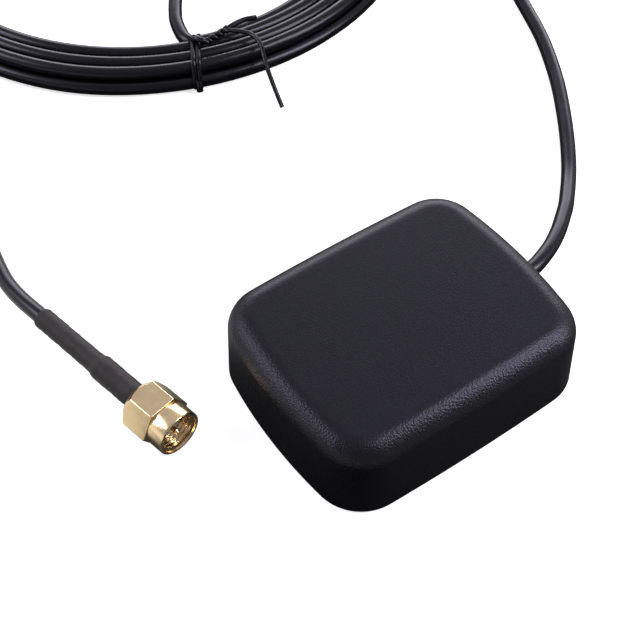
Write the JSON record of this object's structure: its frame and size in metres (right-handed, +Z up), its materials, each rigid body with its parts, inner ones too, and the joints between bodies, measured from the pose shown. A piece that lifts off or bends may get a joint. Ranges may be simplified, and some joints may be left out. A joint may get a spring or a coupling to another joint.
{
  "type": "gps antenna",
  "caption": "Black puck antenna for satellite positioning, with a long thin lead wound into a tied coil and a gold screw-on coaxial plug.",
  "frame": {"origin": "centre of the housing's underside", "axes": "+Z up, out of the housing's top; +X along the housing's length, towards the lead's exit"},
  "size_m": [0.1385, 0.2091, 0.0144],
  "materials": {
    "housing_plastic": "fine grained black plastic",
    "base_plastic": "plain black plastic",
    "lead_jacket": "satin black cable jacket",
    "shrink_sleeve": "matt black heat-shrink",
    "seal_rubber": "soft dark rubber",
    "gasket_rubber": "red silicone rubber",
    "gold_plate": "gold plated brass",
    "white_insulator": "waxy white plastic",
    "copper_wire": "bare copper",
    "board_laminate": "green coated laminate",
    "patch_ceramic": "fired cream ceramic",
    "silver_film": "fired silver film",
    "tinned_metal": "tinned sheet and solder",
    "screw_steel": "zinc plated steel",
    "magnet_metal": "nickel plated magnet",
    "chip_epoxy": "moulded black epoxy",
    "chip_ceramic": "tan ceramic chip",
    "tape_foam": "white adhesive tape"
  },
  "bodies": {
    "antenna": {"top_cover": "housing_plastic", "base_plate": "base_plastic", "base_seal": "seal_rubber", "base_screws": "screw_steel", "magnet": "magnet_metal", "circuit_board": "board_laminate", "shield_can": "tinned_metal", "amplifier_chip": "chip_epoxy", "band_filter": "chip_ceramic", "chip_part_1": "chip_ceramic", "chip_part_2": "chip_ceramic", "chip_part_3": "chip_ceramic", "chip_part_4": "chip_ceramic", "chip_part_5": "chip_ceramic", "chip_part_6": "chip_ceramic", "patch_tape": "tape_foam", "ceramic_patch": "patch_ceramic", "patch_electrode": "silver_film", "feed_pin": "gold_plate", "solder_joints": "tinned_metal", "cable_grommet": "seal_rubber", "cable_antenna_lead": "lead_jacket", "cable_coil": "lead_jacket", "cable_plug_lead": "lead_jacket", "twist_tie": "lead_jacket", "cable_braid_end": "copper_wire", "cable_insulation_end": "white_insulator", "cable_conductor_end": "copper_wire", "plug_body": "gold_plate", "retaining_ring": "gold_plate", "plug_gasket": "gasket_rubber", "plug_insulator": "white_insulator", "centre_pin": "gold_plate", "crimp_ferrule": "gold_plate", "crimped_braid": "copper_wire", "plug_end_insulation": "white_insulator", "plug_end_conductor": "copper_wire", "heat_shrink": "shrink_sleeve"},
    "coupling_nut": {"coupling_nut": "gold_plate"}
  },
  "joints": [
    {"name": "nut_spin", "type": "hinge", "parent": "antenna", "child": "coupling_nut", "pos_m": [-0.03827, 0.01451, 0.004], "axis": [0.2164, -0.9763, 0], "continuous": true}
  ]
}
